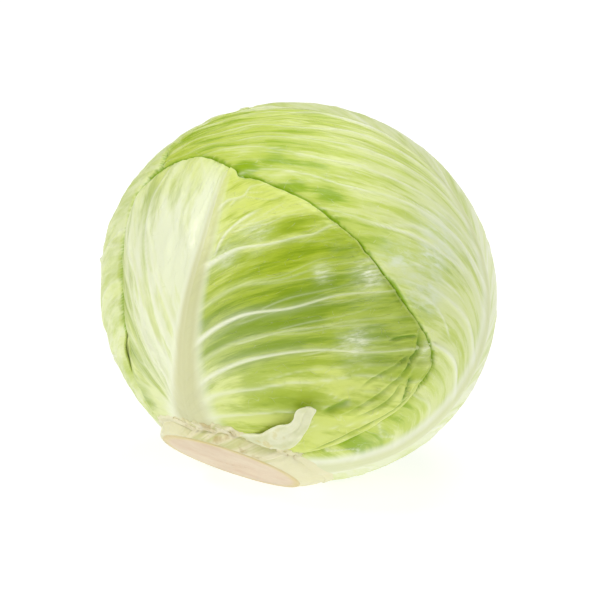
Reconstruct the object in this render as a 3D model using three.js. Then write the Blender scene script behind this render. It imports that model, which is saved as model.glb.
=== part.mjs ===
import * as THREE from 'three';

// A trimmed head of white cabbage, lying tipped on a small flat spot with its cut stem to one side.
// Millimetres, +Z up, seen from -Y. The head is shaped about its own axis: a place on it is
// [azimuth, polar] in degrees, with polar 0 at the cut stem and polar 180 at the crown.

const head = {
  equatorRadius: 88.9,
  poleRadius: 84.2,
  leanDirection: 56.2,
  lean: 35.2,
  turn: -147.9,
  centreHeight: 84.7, // a little less than the ball's own reach, which leaves the flat spot
};

const blade = {
  thickness: 0.9,
  gap: 0.5, // clear space between one leaf and the next
  spacing: 7.4, // degrees round a place that a leaf below keeps clear of
  smoothing: 2.4, // degrees over which its depth is averaged
  exposedDepth: 1.2, // relief fades out where a leaf lies deeper than this
  veinHeight: 1.8,
  veinWidth: 0.036, // share of the rib's length
  edgeDroop: 0.8,
  edgeWave: 0.7,
  ribFade: 7, // degrees over which a vein swings away from the rib
};

// Places of the leaf's points along each vein, from the rib to the margin.
const columnShares = [0, 0.04, 0.085, 0.14, 0.21, 0.3, 0.4, 0.5, 0.61, 0.72, 0.82, 0.91, 0.965, 1];

const stem = {
  cutHeight: -82.2,
  cutRadius: 32.4,
  cutShift: -4,
  cutBulge: 1.4, // the cut face is a little domed
  rimRound: 0.7,
  sides: 48,
  // [radius, height, share of the cut face's shift] up the flank, over the collar and down the neck
  flank: [[34.6, -80.2, 0.7], [36.6, -77.9, 0.25], [37.3, -76.2, 0], [33.4, -73, 0], [24, -64.3, 0]],
  scarDepth: 0.9,
};

const core = {
  bottom: -62.4,
  bottomRadius: 28,
  wallPolar: 27.4,
  spacing: 8,
  rings: 18,
  sides: 36,
};

// The leaves, outermost first. The rib and the margins are points from the stem to the tip.
const leaves = [
  {
    name: 'leaf_front',
    color: 0xb4c765,
    rib: [[-39.5, 26.8], [-33.6, 46], [-31.6, 66], [-30.8, 87], [-34, 108.6]],
    ribHeight: [1.4, 3.0, 2.6, 2.0, 1.3, 0.3],
    ribHalfWidth: [12.5, 11, 9, 6.5, 4.5, 3],
    right: {
      margin: [[34, 29], [48, 57], [50.5, 77], [33, 87], [22, 93.5], [13, 98.5], [-1, 106], [-20, 110], [-34, 111]],
      bend: [4.9, 2, 0, 0, 0, 0, 0, 0, 0],
      lead: 0.07,
      veins: [0.05, 0.12, 0.2, 0.28, 0.38, 0.5, 0.62, 0.75, 0.88],
    },
    left: {
      margin: [[-97, 28], [-91, 55], [-83, 77], [-73, 90], [-71, 98], [-67, 105], [-57, 110], [-46, 113], [-34, 111]],
      bend: [3, 1, -2, -2, -1, 0, 0, 0, 0],
      lead: 0.06,
      veins: [0.08, 0.16, 0.24, 0.33, 0.44, 0.56, 0.68, 0.81, 0.94],
    },
  },
  {
    name: 'leaf_back',
    color: 0xb8cc6e,
    rib: [[168, 26.8], [168, 46], [167, 66], [166, 86], [166, 105]],
    ribHeight: [1.2, 2.6, 2.4, 1.8, 1.0, 0],
    ribHalfWidth: [11, 10, 8, 6, 4.5, 3],
    right: {
      margin: [[205, 29], [221, 50], [227, 69], [224, 84], [214, 95], [203, 102], [191, 107], [179, 109], [166, 109]],
      bend: [1.4, 1, 0, 0, 0, 0, 0, 0, 0],
      lead: 0.06,
      veins: [0.07, 0.17, 0.28, 0.41, 0.56, 0.72, 0.88],
    },
    left: {
      margin: [[129, 29], [114, 49], [108, 67], [109, 82], [117, 94], [128, 102], [140, 107], [153, 109], [166, 109]],
      bend: [1.4, 1, 0, 0, 0, 0, 0, 0, 0],
      lead: 0.06,
      veins: [0.12, 0.22, 0.34, 0.48, 0.64, 0.8, 0.94],
    },
  },
  {
    name: 'leaf_right',
    color: 0xc9da86,
    rib: [[55, 26.8], [69, 50], [71, 73], [68, 97], [56, 120], [36, 141], [-8, 150], [-50, 139]],
    ribHeight: [1.2, 2.6, 2.2, 1.7, 1.3, 0.9, 0.5, 0],
    ribHalfWidth: [13, 12, 10, 8, 7, 6, 5, 5],
    right: {
      margin: [[112, 28.4], [121, 48], [126, 68], [128, 90], [130, 112], [136, 132], [165, 147], [-148, 150], [-62, 139]],
      bend: [3, 1, 0, 0, 0, 2, 4, 2, 0],
      lead: 0.05,
      veins: [0.06, 0.16, 0.27, 0.39, 0.53, 0.68, 0.84],
    },
    left: {
      margin: [[24, 29], [8, 50], [-8, 74], [-30, 92], [-60, 106], [-67, 111], [-71, 118], [-71, 128], [-62, 139]],
      bend: [1.1, 1, 1, 3, -4, -3, -2, -1, 0],
      lead: 0.05,
      veins: [0.1, 0.2, 0.31, 0.42, 0.5, 0.6, 0.76, 0.92],
    },
  },
  {
    name: 'leaf_left',
    color: 0xbccf72,
    rib: [[-124, 26.8], [-122, 52], [-120, 78], [-118, 104], [-112, 129], [-96, 150]],
    ribHeight: [1.2, 2.4, 2.0, 1.5, 0.8, 0],
    ribHalfWidth: [11, 10, 8, 6, 4.5, 3],
    right: {
      margin: [[-94, 29], [-74, 48], [-60, 68], [-50, 86], [-45, 102], [-46, 118], [-53, 132], [-66, 145], [-92, 155]],
      bend: [1, 1, 0, 0, 0, 0, 0, 0, 0],
      lead: 0.06,
      veins: [0.07, 0.17, 0.28, 0.41, 0.56, 0.72, 0.88],
    },
    left: {
      margin: [[-152, 29], [-168, 48], [-177, 68], [-180, 88], [-178, 106], [-172, 123], [-160, 138], [-135, 152], [-92, 155]],
      bend: [0.8, 1, 0, 0, 0, 0, 1, 2, 0],
      lead: 0.06,
      veins: [0.12, 0.22, 0.34, 0.48, 0.64, 0.8, 0.94],
    },
  },
  {
    name: 'leaf_crown',
    color: 0xd3e29a,
    rib: [[-172, 26.8], [-173, 54], [-176, 82], [178, 110], [168, 137], [138, 161]],
    ribHeight: [0.8, 1.8, 1.6, 1.4, 0.8, 0],
    ribHalfWidth: [9, 8, 7, 6, 5, 3],
    right: {
      margin: [[-148, 29], [-128, 48], [-116, 70], [-109, 92], [-106, 112], [-105, 130], [-108, 148], [-125, 165], [115, 168]],
      bend: [0.8, 1, 0, 0, 0, 0, 1, 2, 0],
      lead: 0.06,
      veins: [0.07, 0.17, 0.28, 0.41, 0.56, 0.72, 0.88],
    },
    left: {
      margin: [[166, 29], [145, 48], [127, 70], [116, 92], [110, 112], [106, 130], [102, 145], [98, 158], [115, 168]],
      bend: [1, 1, 0, 0, 0, 0, 0, 0, 0],
      lead: 0.06,
      veins: [0.12, 0.22, 0.34, 0.48, 0.64, 0.8, 0.94],
    },
  },
];

// A scrap of an outer leaf's base, torn off when the head was trimmed, still joined to the stem.
const stub = {
  name: 'torn_leaf_base',
  color: 0xe4e6c4,
  centreLine: [[21, 22.6], [20, 28], [19, 34], [17.5, 41], [15.5, 48]],
  halfWidth: [11, 9.5, 7, 5, 4],
  lift: [2.5, 2.7, 3.0, 3.6, 4.8],
  thickness: 1.8,
  rows: 9,
  columns: 6,
};

const radians = THREE.MathUtils.degToRad;
const down = new THREE.Vector3(0, 0, -1).applyMatrix4(headTurn().invert());

// Turn from the head's own axes to the way it lies.
function headTurn() {
  const turned = new THREE.Matrix4().makeRotationZ(radians(head.leanDirection));
  turned.multiply(new THREE.Matrix4().makeRotationY(radians(head.lean)));
  return turned.multiply(new THREE.Matrix4().makeRotationZ(radians(head.turn)));
}

function direction([azimuth, polar]) {
  const a = radians(azimuth);
  const p = radians(polar);
  return new THREE.Vector3(Math.sin(p) * Math.cos(a), Math.sin(p) * Math.sin(a), -Math.cos(p));
}

// A smooth line over the ball through places that are evenly spaced along it.
function lineOver(places) {
  const curve = new THREE.CatmullRomCurve3(places.map(direction), false, 'catmullrom', 0.5);
  return (share) => curve.getPoint(share).normalize();
}

// A number that changes evenly between listed values.
function valueAt(values, share) {
  const x = THREE.MathUtils.clamp(share, 0, 1) * (values.length - 1);
  const i = Math.min(Math.floor(x), values.length - 2);
  return THREE.MathUtils.lerp(values[i], values[i + 1], x - i);
}

function bump(x) {
  return Math.abs(x) < 1 ? (1 - x * x) ** 2 : 0;
}

// Distance from the head's centre to its plain outside: a flattened ball cut by the surface it lies on.
function outline(d) {
  const across = (d.x * d.x + d.y * d.y) / head.equatorRadius ** 2;
  const ball = 1 / Math.sqrt(across + (d.z * d.z) / head.poleRadius ** 2);
  const dip = d.dot(down);
  return dip > 0.5 ? Math.min(ball, head.centreHeight / dip) : ball;
}

// Evenly spread directions, each with the depth that the leaves outside it take up.
const probes = [];
const probeCount = 7000;
for (let i = 0; i < probeCount; i += 1) {
  const z = 1 - (2 * i + 1) / probeCount;
  const azimuth = i * Math.PI * (3 - Math.sqrt(5));
  const r = Math.sqrt(1 - z * z);
  probes.push({ d: new THREE.Vector3(r * Math.cos(azimuth), r * Math.sin(azimuth), z), depth: 0 });
}

// Marks the space down to the point p as taken, with the clear gap below it.
function take(p, spacing) {
  const d = p.clone().normalize();
  const depth = outline(d) - p.length() + blade.gap;
  const near = Math.cos(radians(spacing));
  for (const probe of probes) {
    if (depth > probe.depth && probe.d.dot(d) > near) probe.depth = depth;
  }
}

// Depth that is free below the leaves placed so far, averaged over the probes round a direction.
function depthAt(d, reach) {
  const edge = Math.cos(radians(reach));
  let total = 0;
  let weights = 0;
  for (const probe of probes) {
    const weight = probe.d.dot(d) - edge;
    if (weight > 0) {
      total += weight * probe.depth;
      weights += weight;
    }
  }
  return total / weights;
}

function deepestNear(d, reach) {
  const near = Math.cos(radians(reach));
  return probes.reduce((deepest, probe) => (probe.d.dot(d) > near ? Math.max(deepest, probe.depth) : deepest), 0);
}

// One vein's line: it leaves the rib along it, swings out and runs in an arc to the margin.
function veinLine(ribLine, marginLine, side, sign, q) {
  const root = ribLine(q);
  const start = ribLine(Math.min(1, q + side.lead * (1 - q)));
  const end = marginLine(q);
  const across = new THREE.Vector3().crossVectors(start, end).normalize().multiplyScalar(sign);
  const middle = start.clone().add(end).normalize();
  const halfAngle = start.angleTo(end) / 2;
  middle.addScaledVector(across, Math.tan(2 * radians(valueAt(side.bend, q)))).divideScalar(Math.cos(halfAngle));
  const swing = root.clone().sub(start);
  return columnShares.map((t) => {
    const p = start.clone().multiplyScalar((1 - t) ** 2);
    p.addScaledVector(middle, 2 * t * (1 - t)).addScaledVector(end, t * t).normalize();
    const away = THREE.MathUtils.radToDeg(p.angleTo(start));
    return p.addScaledVector(swing, Math.exp(-away / blade.ribFade)).normalize();
  });
}

function distanceToRib(ribSamples, d) {
  let best = 0;
  let nearest = -1;
  ribSamples.forEach((sample, i) => {
    const closeness = sample.dot(d);
    if (closeness > nearest) {
      nearest = closeness;
      best = i;
    }
  });
  return { distance: Math.acos(Math.min(1, nearest)) * head.equatorRadius, share: best / (ribSamples.length - 1) };
}

// Rows at both sides' veins, so that a vein of one side lies level with a furrow of the other.
function leafRows(leaf) {
  return [0, ...leaf.right.veins, ...leaf.left.veins, 1].sort((a, b) => a - b);
}

// Outer and inner point of a leaf at a direction on its vein grid.
function leafPoints(leaf, side, q, t, d, ribSamples) {
  const depth = depthAt(d, blade.smoothing);
  const exposed = THREE.MathUtils.clamp(1 - depth / blade.exposedDepth, 0, 1);
  const crest = Math.max(...side.veins.map((vein) => bump((q - vein) / blade.veinWidth)));
  const rib = distanceToRib(ribSamples, d);
  const ribShape = bump(rib.distance / valueAt(leaf.ribHalfWidth, rib.share));
  const ribRise = valueAt(leaf.ribHeight, rib.share) * ribShape;
  const veinRise = blade.veinHeight * crest * (1 - t) ** 0.7 * (1 - ribShape);
  const edge = THREE.MathUtils.clamp((t - 0.9) / 0.1, 0, 1) * (1 - ribShape);
  const wave = edge * (blade.edgeWave * (1 - 2 * crest) - blade.edgeDroop);
  const plain = outline(d) - depth;
  const outer = plain + exposed * Math.min(ribRise + veinRise + wave, floorRoom(d, plain));
  const inner = outer - blade.thickness - 0.5 * ribRise - 0.3 * veinRise * (1 - exposed);
  return [d.clone().multiplyScalar(outer), d.clone().multiplyScalar(inner)];
}

// Room between a point and the surface that the head lies on.
function floorRoom(d, radius) {
  const dip = d.dot(down);
  return dip > 0.5 ? head.centreHeight / dip - radius : Infinity;
}

// Builds a leaf's closed solid: two vein grids joined along the rib and at the tip, walled round.
function leafGeometry(leaf) {
  const ribLine = lineOver(leaf.rib);
  const ribSamples = Array.from({ length: 121 }, (_, i) => ribLine(i / 120));
  const rows = leafRows(leaf);
  const last = rows.length - 1;
  const columns = columnShares.length - 1;
  const outer = [];
  const inner = [];
  const index = { right: [], left: [] };
  for (const [sideName, sign] of [['right', 1], ['left', -1]]) {
    const side = leaf[sideName];
    const marginLine = lineOver(side.margin);
    rows.forEach((q, i) => {
      const shared = (j) => sideName === 'left' && (j === 0 || i === last);
      index[sideName].push(veinLine(ribLine, marginLine, side, sign, q).map((d, j) => {
        if (shared(j)) return index.right[i][j];
        const [out, into] = leafPoints(leaf, side, q, columnShares[j], d, ribSamples);
        outer.push(out);
        return inner.push(into) - 1;
      }));
    });
  }
  const faces = [];
  for (const [sideName, flip] of [['right', false], ['left', true]]) {
    const grid = index[sideName];
    for (let i = 0; i < last; i += 1) {
      for (let j = 0; j < columns; j += 1) {
        const [a, b, c, d] = [grid[i][j], grid[i][j + 1], grid[i + 1][j + 1], grid[i + 1][j]];
        const pair = (i + j) % 2 === 0 ? [[a, b, c], [a, c, d]] : [[a, b, d], [b, c, d]];
        pair.forEach((face) => faces.push(flip ? face.reverse() : face));
      }
    }
  }
  const around = [
    ...index.left[0].slice(1).reverse(),
    ...index.right[0],
    ...index.right.slice(1, last + 1).map((row) => row[columns]),
    ...index.left.slice(1, last).reverse().map((row) => row[columns]),
  ];
  return { geometry: twoSided(outer, inner, faces, around), inner, faces };
}

// A closed solid from matching outer and inner points, the outer faces and the loop round them.
function twoSided(outer, inner, faces, around) {
  const count = outer.length;
  const all = faces.flatMap(([a, b, c]) => [a, b, c, count + c, count + b, count + a]);
  around.forEach((from, i) => {
    const to = around[(i + 1) % around.length];
    all.push(from, count + from, count + to, from, count + to, to);
  });
  const geometry = new THREE.BufferGeometry().setFromPoints([...outer, ...inner]);
  geometry.setIndex(all);
  geometry.computeVertexNormals();
  return geometry;
}

// Points spread over each inner face, so that the next leaf in clears the whole of it.
function takeFaces(points, faces) {
  const parts = 5;
  for (const [a, b, c] of faces) {
    for (let i = 0; i <= parts; i += 1) {
      for (let j = 0; j <= parts - i; j += 1) {
        const p = points[a].clone().multiplyScalar((parts - i - j) / parts);
        p.addScaledVector(points[b], i / parts).addScaledVector(points[c], j / parts);
        take(p, blade.spacing);
      }
    }
  }
}

// A closed solid of rings of equal count between two end points.
function ringSolid(rings, bottom, top) {
  const sides = rings[0].length;
  const points = [bottom, ...rings.flat(), top];
  const at = (ring, i) => 1 + ring * sides + (i % sides);
  const faces = [];
  for (let i = 0; i < sides; i += 1) {
    faces.push(0, at(0, i + 1), at(0, i));
    faces.push(points.length - 1, at(rings.length - 1, i), at(rings.length - 1, i + 1));
    for (let ring = 0; ring < rings.length - 1; ring += 1) {
      faces.push(at(ring, i), at(ring, i + 1), at(ring + 1, i + 1));
      faces.push(at(ring, i), at(ring + 1, i + 1), at(ring + 1, i));
    }
  }
  const geometry = new THREE.BufferGeometry().setFromPoints(points);
  geometry.setIndex(faces);
  geometry.computeVertexNormals();
  return geometry;
}

// The stem: a flat cut face, a flank with the scars of trimmed leaves, and the neck inside the head.
function stemGeometry() {
  const { cutHeight, cutRadius, cutShift, rimRound, sides, scarDepth } = stem;
  const sections = [[cutRadius - rimRound, cutHeight, 1], [cutRadius, cutHeight + rimRound, 1], ...stem.flank];
  const rings = sections.map(([radius, height, shift], ring) => Array.from({ length: sides }, (_, i) => {
    const azimuth = (i / sides) * Math.PI * 2;
    const onFlank = ring > 1 && ring < 5 ? scarDepth : 0;
    const scar = onFlank * (0.5 + 0.5 * Math.sin(5 * azimuth + 1.3 * ring) * Math.cos(8 * azimuth + 2 * ring));
    const r = radius - scar;
    return new THREE.Vector3(r * Math.cos(azimuth), r * Math.sin(azimuth) + shift * cutShift, height);
  }));
  const cutCentre = new THREE.Vector3(0, cutShift, cutHeight - stem.cutBulge);
  return ringSolid(rings, cutCentre, new THREE.Vector3(0, 0, sections.at(-1)[1] + 0.6));
}

// The tightly packed leaves inside, as one body that fills the room the outer leaves leave.
function coreGeometry() {
  const ring = (polar) => Array.from({ length: core.sides }, (_, i) => {
    const d = direction([(i / core.sides) * 360, polar]);
    return d.multiplyScalar(outline(d) - deepestNear(d, core.spacing));
  });
  const flat = Array.from({ length: core.sides }, (_, i) => {
    const azimuth = (i / core.sides) * Math.PI * 2;
    const { bottomRadius, bottom } = core;
    return new THREE.Vector3(bottomRadius * Math.cos(azimuth), bottomRadius * Math.sin(azimuth), bottom);
  });
  const step = (180 - core.wallPolar) / (core.rings + 1);
  const rings = [flat, ...Array.from({ length: core.rings + 1 }, (_, i) => ring(core.wallPolar + i * step))];
  const crown = direction([0, 180]);
  crown.multiplyScalar(outline(crown) - deepestNear(crown, core.spacing));
  return ringSolid(rings, new THREE.Vector3(0, 0, core.bottom), crown);
}

function stubGeometry() {
  const { rows, columns } = stub;
  const line = lineOver(stub.centreLine);
  const outer = [];
  const inner = [];
  for (let i = 0; i <= rows; i += 1) {
    const q = i / rows;
    const d = line(q);
    const ahead = line(Math.min(1, q + 0.01)).sub(line(Math.max(0, q - 0.01)));
    const across = new THREE.Vector3().crossVectors(ahead, d).normalize();
    for (let j = 0; j <= columns; j += 1) {
      const x = (2 * j) / columns - 1;
      const spread = (x * valueAt(stub.halfWidth, q)) / head.equatorRadius;
      const at = d.clone().addScaledVector(across, spread).normalize();
      const lift = valueAt(stub.lift, q) + 0.8 * q * x * x;
      outer.push(at.clone().multiplyScalar(outline(at) + lift + stub.thickness));
      inner.push(at.clone().multiplyScalar(outline(at) + lift));
    }
  }
  const at = (i, j) => i * (columns + 1) + j;
  const faces = [];
  for (let i = 0; i < rows; i += 1) {
    for (let j = 0; j < columns; j += 1) {
      faces.push([at(i, j), at(i, j + 1), at(i + 1, j + 1)], [at(i, j), at(i + 1, j + 1), at(i + 1, j)]);
    }
  }
  const bottomEdge = Array.from({ length: columns }, (_, j) => at(0, j));
  const rightEdge = Array.from({ length: rows }, (_, i) => at(i, columns));
  const topEdge = Array.from({ length: columns }, (_, j) => at(rows, columns - j));
  const leftEdge = Array.from({ length: rows }, (_, i) => at(rows - i, 0));
  return twoSided(outer, inner, faces, [...bottomEdge, ...rightEdge, ...topEdge, ...leftEdge]);
}

const cabbage = new THREE.Group();

function addPiece(name, geometry, color, roughness) {
  const mesh = new THREE.Mesh(geometry, new THREE.MeshStandardMaterial({ color, roughness, metalness: 0 }));
  mesh.name = name;
  cabbage.add(mesh);
}

for (const leaf of leaves) {
  const { geometry, inner, faces } = leafGeometry(leaf);
  takeFaces(inner, faces);
  addPiece(leaf.name, geometry, leaf.color, 0.45);
}
addPiece('inner_head', coreGeometry(), 0xe6ecb4, 0.5);
addPiece('stem', stemGeometry(), 0xebdbbe, 0.8);
addPiece(stub.name, stubGeometry(), stub.color, 0.55);

// The head lies tipped, with the middle of its box over the origin.
cabbage.applyMatrix4(headTurn());
cabbage.position.set(0, 0, head.centreHeight);
cabbage.updateMatrixWorld(true);
const middle = new THREE.Box3().setFromObject(cabbage, true).getCenter(new THREE.Vector3());
cabbage.position.set(-middle.x, -middle.y, head.centreHeight);

export default cabbage;
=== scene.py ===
import bpy
import math
import numpy as np
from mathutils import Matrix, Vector
from mathutils.kdtree import KDTree


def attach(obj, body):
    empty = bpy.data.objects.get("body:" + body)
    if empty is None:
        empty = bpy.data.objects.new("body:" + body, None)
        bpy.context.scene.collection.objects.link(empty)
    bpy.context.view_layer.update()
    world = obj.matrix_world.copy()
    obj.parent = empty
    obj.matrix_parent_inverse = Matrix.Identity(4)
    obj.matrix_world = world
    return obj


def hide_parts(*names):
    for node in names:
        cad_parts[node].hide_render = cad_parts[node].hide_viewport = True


# A trimmed head of white cabbage, lying tipped with its cut stem low at the front left.
# Shapes are worked out in millimetres about the head's own axis, as [azimuth, polar] places
# in degrees, with polar 0 at the cut stem and polar 180 at the crown, then laid in the frame.

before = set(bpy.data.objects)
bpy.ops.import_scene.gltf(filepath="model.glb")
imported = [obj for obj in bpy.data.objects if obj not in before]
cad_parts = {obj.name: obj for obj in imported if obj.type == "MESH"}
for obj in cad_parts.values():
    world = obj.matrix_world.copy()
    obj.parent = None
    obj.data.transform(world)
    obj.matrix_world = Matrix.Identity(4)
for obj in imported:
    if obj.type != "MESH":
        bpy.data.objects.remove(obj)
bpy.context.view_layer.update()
print("frame loaded:", ", ".join(sorted(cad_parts)))

head = {
    "equatorRadius": 88.9, "poleRadius": 84.2,
    "leanDirection": 56.2, "lean": 35.2, "turn": -147.9,
    "centre": (0.27, 1.88, 84.7),
}

layering = {
    "probes": 160000,  # directions over the ball at which the depth taken up is kept
    "spacing": 1.35,  # degrees that a point of a leaf covers
    "rim": 2.5,  # millimetres along a leaf's edge where the points lie closer
    "rimSpacing": 0.6,
    "smoothing": 0.8,  # degrees
    "gap": 0.15,
    "thickness": 0.9,
    "exposedDepth": 1.2,  # a leaf as deep as this under others has no relief
}


# Tools for places and lines over the ball

def turnAbout(axis, degrees):
    c, s = math.cos(math.radians(degrees)), math.sin(math.radians(degrees))
    if axis == "z":
        return np.array([[c, -s, 0], [s, c, 0], [0, 0, 1]])
    return np.array([[c, 0, s], [0, 1, 0], [-s, 0, c]])


leanTurn = turnAbout("z", head["leanDirection"]) @ turnAbout("y", head["lean"])
headTurn = leanTurn @ turnAbout("z", head["turn"])
headDown = headTurn.T @ np.array([0, 0, -1.0])


def dot(a, b):
    return np.sum(a * b, -1, keepdims=True)


def unit(v):
    return v / np.maximum(np.linalg.norm(v, axis=-1, keepdims=True), 1e-9)


def evenly(count):
    return np.linspace(0, 1, count)


def smooth(low, high, x):
    t = np.clip((x - low) / (high - low), 0, 1)
    return t * t * (3 - 2 * t)


def bump(x):
    return np.where(np.abs(x) < 1, (1 - x * x) ** 2, 0)


def directions(places):
    azimuth, polar = np.radians(np.asarray(places, float)).T
    return np.stack([np.sin(polar) * np.cos(azimuth), np.sin(polar) * np.sin(azimuth), -np.cos(polar)], -1)


def lineThrough(values, share):  # a smooth line through evenly spaced values
    v = np.asarray(values, float)
    if v.ndim == 1:
        return lineThrough(v[:, None], share)[..., 0]
    x = np.clip(np.asarray(share, float), 0, 1) * (len(v) - 1)
    i = np.minimum(x.astype(int), len(v) - 2)
    t = (x - i)[..., None]
    padded = np.vstack([2 * v[0] - v[1], v, 2 * v[-1] - v[-2]])
    p0, p1, p2, p3 = padded[i], padded[i + 1], padded[i + 2], padded[i + 3]
    square = (2 * p0 - 5 * p1 + 4 * p2 - p3) * t * t
    return 0.5 * (2 * p1 + (p2 - p0) * t + square + (3 * p1 - p0 - 3 * p2 + p3) * t ** 3)


def lineOver(places, share):
    return unit(lineThrough(directions(places), share))


def valueAt(values, share):  # a number that changes evenly between listed values
    return np.interp(share, evenly(len(values)), values)


def outline(d):  # from the head's centre to its plain outside
    across = (d[..., 0] ** 2 + d[..., 1] ** 2) / head["equatorRadius"] ** 2
    ball = 1 / np.sqrt(across + d[..., 2] ** 2 / head["poleRadius"] ** 2)
    return np.minimum(ball, floorRadius(d))


def floorRadius(d):  # distance to the surface that the head lies on
    dip = d @ headDown
    return np.where(dip > 0.5, head["centre"][2] / np.maximum(dip, 0.5), 1e3)


def aboveFloor(points):
    d, far = unit(points), np.linalg.norm(points, axis=-1)
    return d * np.minimum(far, floorRadius(d))[..., None]


def ripple(x, y, seed):  # smooth random waves, between -1 and 1, about one unit long
    size = 61
    table = np.random.default_rng(seed).uniform(-1, 1, (size, size))
    xi, yi = np.floor(x).astype(int), np.floor(y).astype(int)
    u, v = smooth(0, 1, x - xi), smooth(0, 1, y - yi)
    corner = lambda i, j: table[(xi + i) % size, (yi + j) % size]
    low = corner(0, 0) * (1 - u) + corner(1, 0) * u
    high = corner(0, 1) * (1 - u) + corner(1, 1) * u
    return low * (1 - v) + high * v


class Layers:  # how deep the leaves outside each direction reach
    def __init__(self):
        count = layering["probes"]
        i = np.arange(count)
        z = 1 - (2 * i + 1) / count
        a = i * math.pi * (3 - math.sqrt(5))
        r = np.sqrt(1 - z * z)
        self.depth = np.zeros(count)
        self.tree = KDTree(count)
        for k, p in enumerate(np.stack([r * np.cos(a), r * np.sin(a), z], -1)):
            self.tree.insert(p, k)
        self.tree.balance()

    def take(self, points, spacing):
        d = unit(points)
        deep = outline(d) - np.linalg.norm(points, axis=-1) + layering["gap"]
        reach = math.radians(spacing)
        for p, value in zip(d.tolist(), deep.tolist()):
            for _, k, _ in self.tree.find_range(p, reach):
                if value > self.depth[k]:
                    self.depth[k] = value

    def at(self, d):
        reach = math.radians(layering["smoothing"])
        found = np.zeros(len(d))
        for n, p in enumerate(d.tolist()):
            near = self.tree.find_range(p, reach)
            weights = [reach * 1.01 - far for _, _, far in near]
            total = sum(w * self.depth[k] for w, (_, k, _) in zip(weights, near))
            found[n] = total / max(sum(weights), 1e-9)
        return found


# Materials: a wrapped socket, so that an expression on values adds its nodes

class Wire:
    def __init__(self, tree, socket=None):
        self.tree, self.socket = tree, socket

    def make(self, kind, settings=None, sockets=None, out=0):
        node = self.tree.nodes.new("ShaderNode" + kind)
        for name, value in (settings or {}).items():
            setattr(node, name, value)
        for name, value in (sockets or {}).items():
            self.feed(node.inputs[name], value)
        return Wire(self.tree, node.outputs[out] if len(node.outputs) else None)

    def feed(self, target, value):
        if isinstance(value, Wire):
            self.tree.links.new(value.socket, target)
        else:
            target.default_value = value

    def maths(self, operation, *values):
        return self.make("Math", {"operation": operation}, dict(enumerate(values)))

    def __add__(self, other):
        return self.maths("ADD", self, other)

    def __sub__(self, other):
        return self.maths("SUBTRACT", self, other)

    def __rsub__(self, other):
        return self.maths("SUBTRACT", other, self)

    def __mul__(self, other):
        return self.maths("MULTIPLY", self, other)

    __radd__ = __add__
    __rmul__ = __mul__

    def atMost(self, other):
        return self.maths("MINIMUM", self, other)

    def atLeast(self, other):
        return self.maths("MAXIMUM", self, other)

    def between(self, low, high):  # 0 below low, 1 above high, smooth between
        return self.make("MapRange", {"interpolation_type": "SMOOTHSTEP"}, {0: self, 1: low, 2: high})

    def blend(self, start, end):  # a colour mixed by this value
        return self.make("Mix", {"data_type": "RGBA"}, {0: self, 6: start, 7: end}, out=2)

    def stretch(self, x, y, z):
        return self.make("VectorMath", {"operation": "MULTIPLY"}, {0: self, 1: (x, y, z)})

    def noise(self, scale, detail=3.0, rough=0.5, out=0):
        sockets = {"Vector": self, "Scale": scale, "Detail": detail, "Roughness": rough}
        return self.make("TexNoise", None, sockets, out)


def tint(red, green, blue):  # a colour as seen, 0 to 255, as a shader colour
    def linear(c):
        c /= 255
        return c / 12.92 if c <= 0.04045 else ((c + 0.055) / 1.055) ** 2.4
    return (linear(red), linear(green), linear(blue), 1)


def newMaterial(name):
    material = bpy.data.materials.new(name)
    material.use_nodes = True
    tree = material.node_tree
    tree.nodes.clear()
    return material, Wire(tree)


def finishMaterial(start, settings, bumpHeight=None, strength=0.5, distance=0.0006):
    sockets = dict(settings)
    if bumpHeight is not None:
        relief = {"Height": bumpHeight, "Strength": strength, "Distance": distance}
        sockets["Normal"] = start.make("Bump", None, relief)
    shader = start.make("BsdfPrincipled", None, sockets)
    start.make("OutputMaterial", None, {"Surface": shader})


def attribute(start, name, out=2):
    return start.make("Attribute", {"attribute_name": name}, None, out)


def softness(weight, radius, scale):  # how light goes through the flesh
    return {"Subsurface Weight": weight, "Subsurface Radius": radius, "Subsurface Scale": scale}


leafValues = ("vein", "rib", "pale", "edge", "paintedShade", "paintedSheen", "ribShade", "tone")


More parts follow.
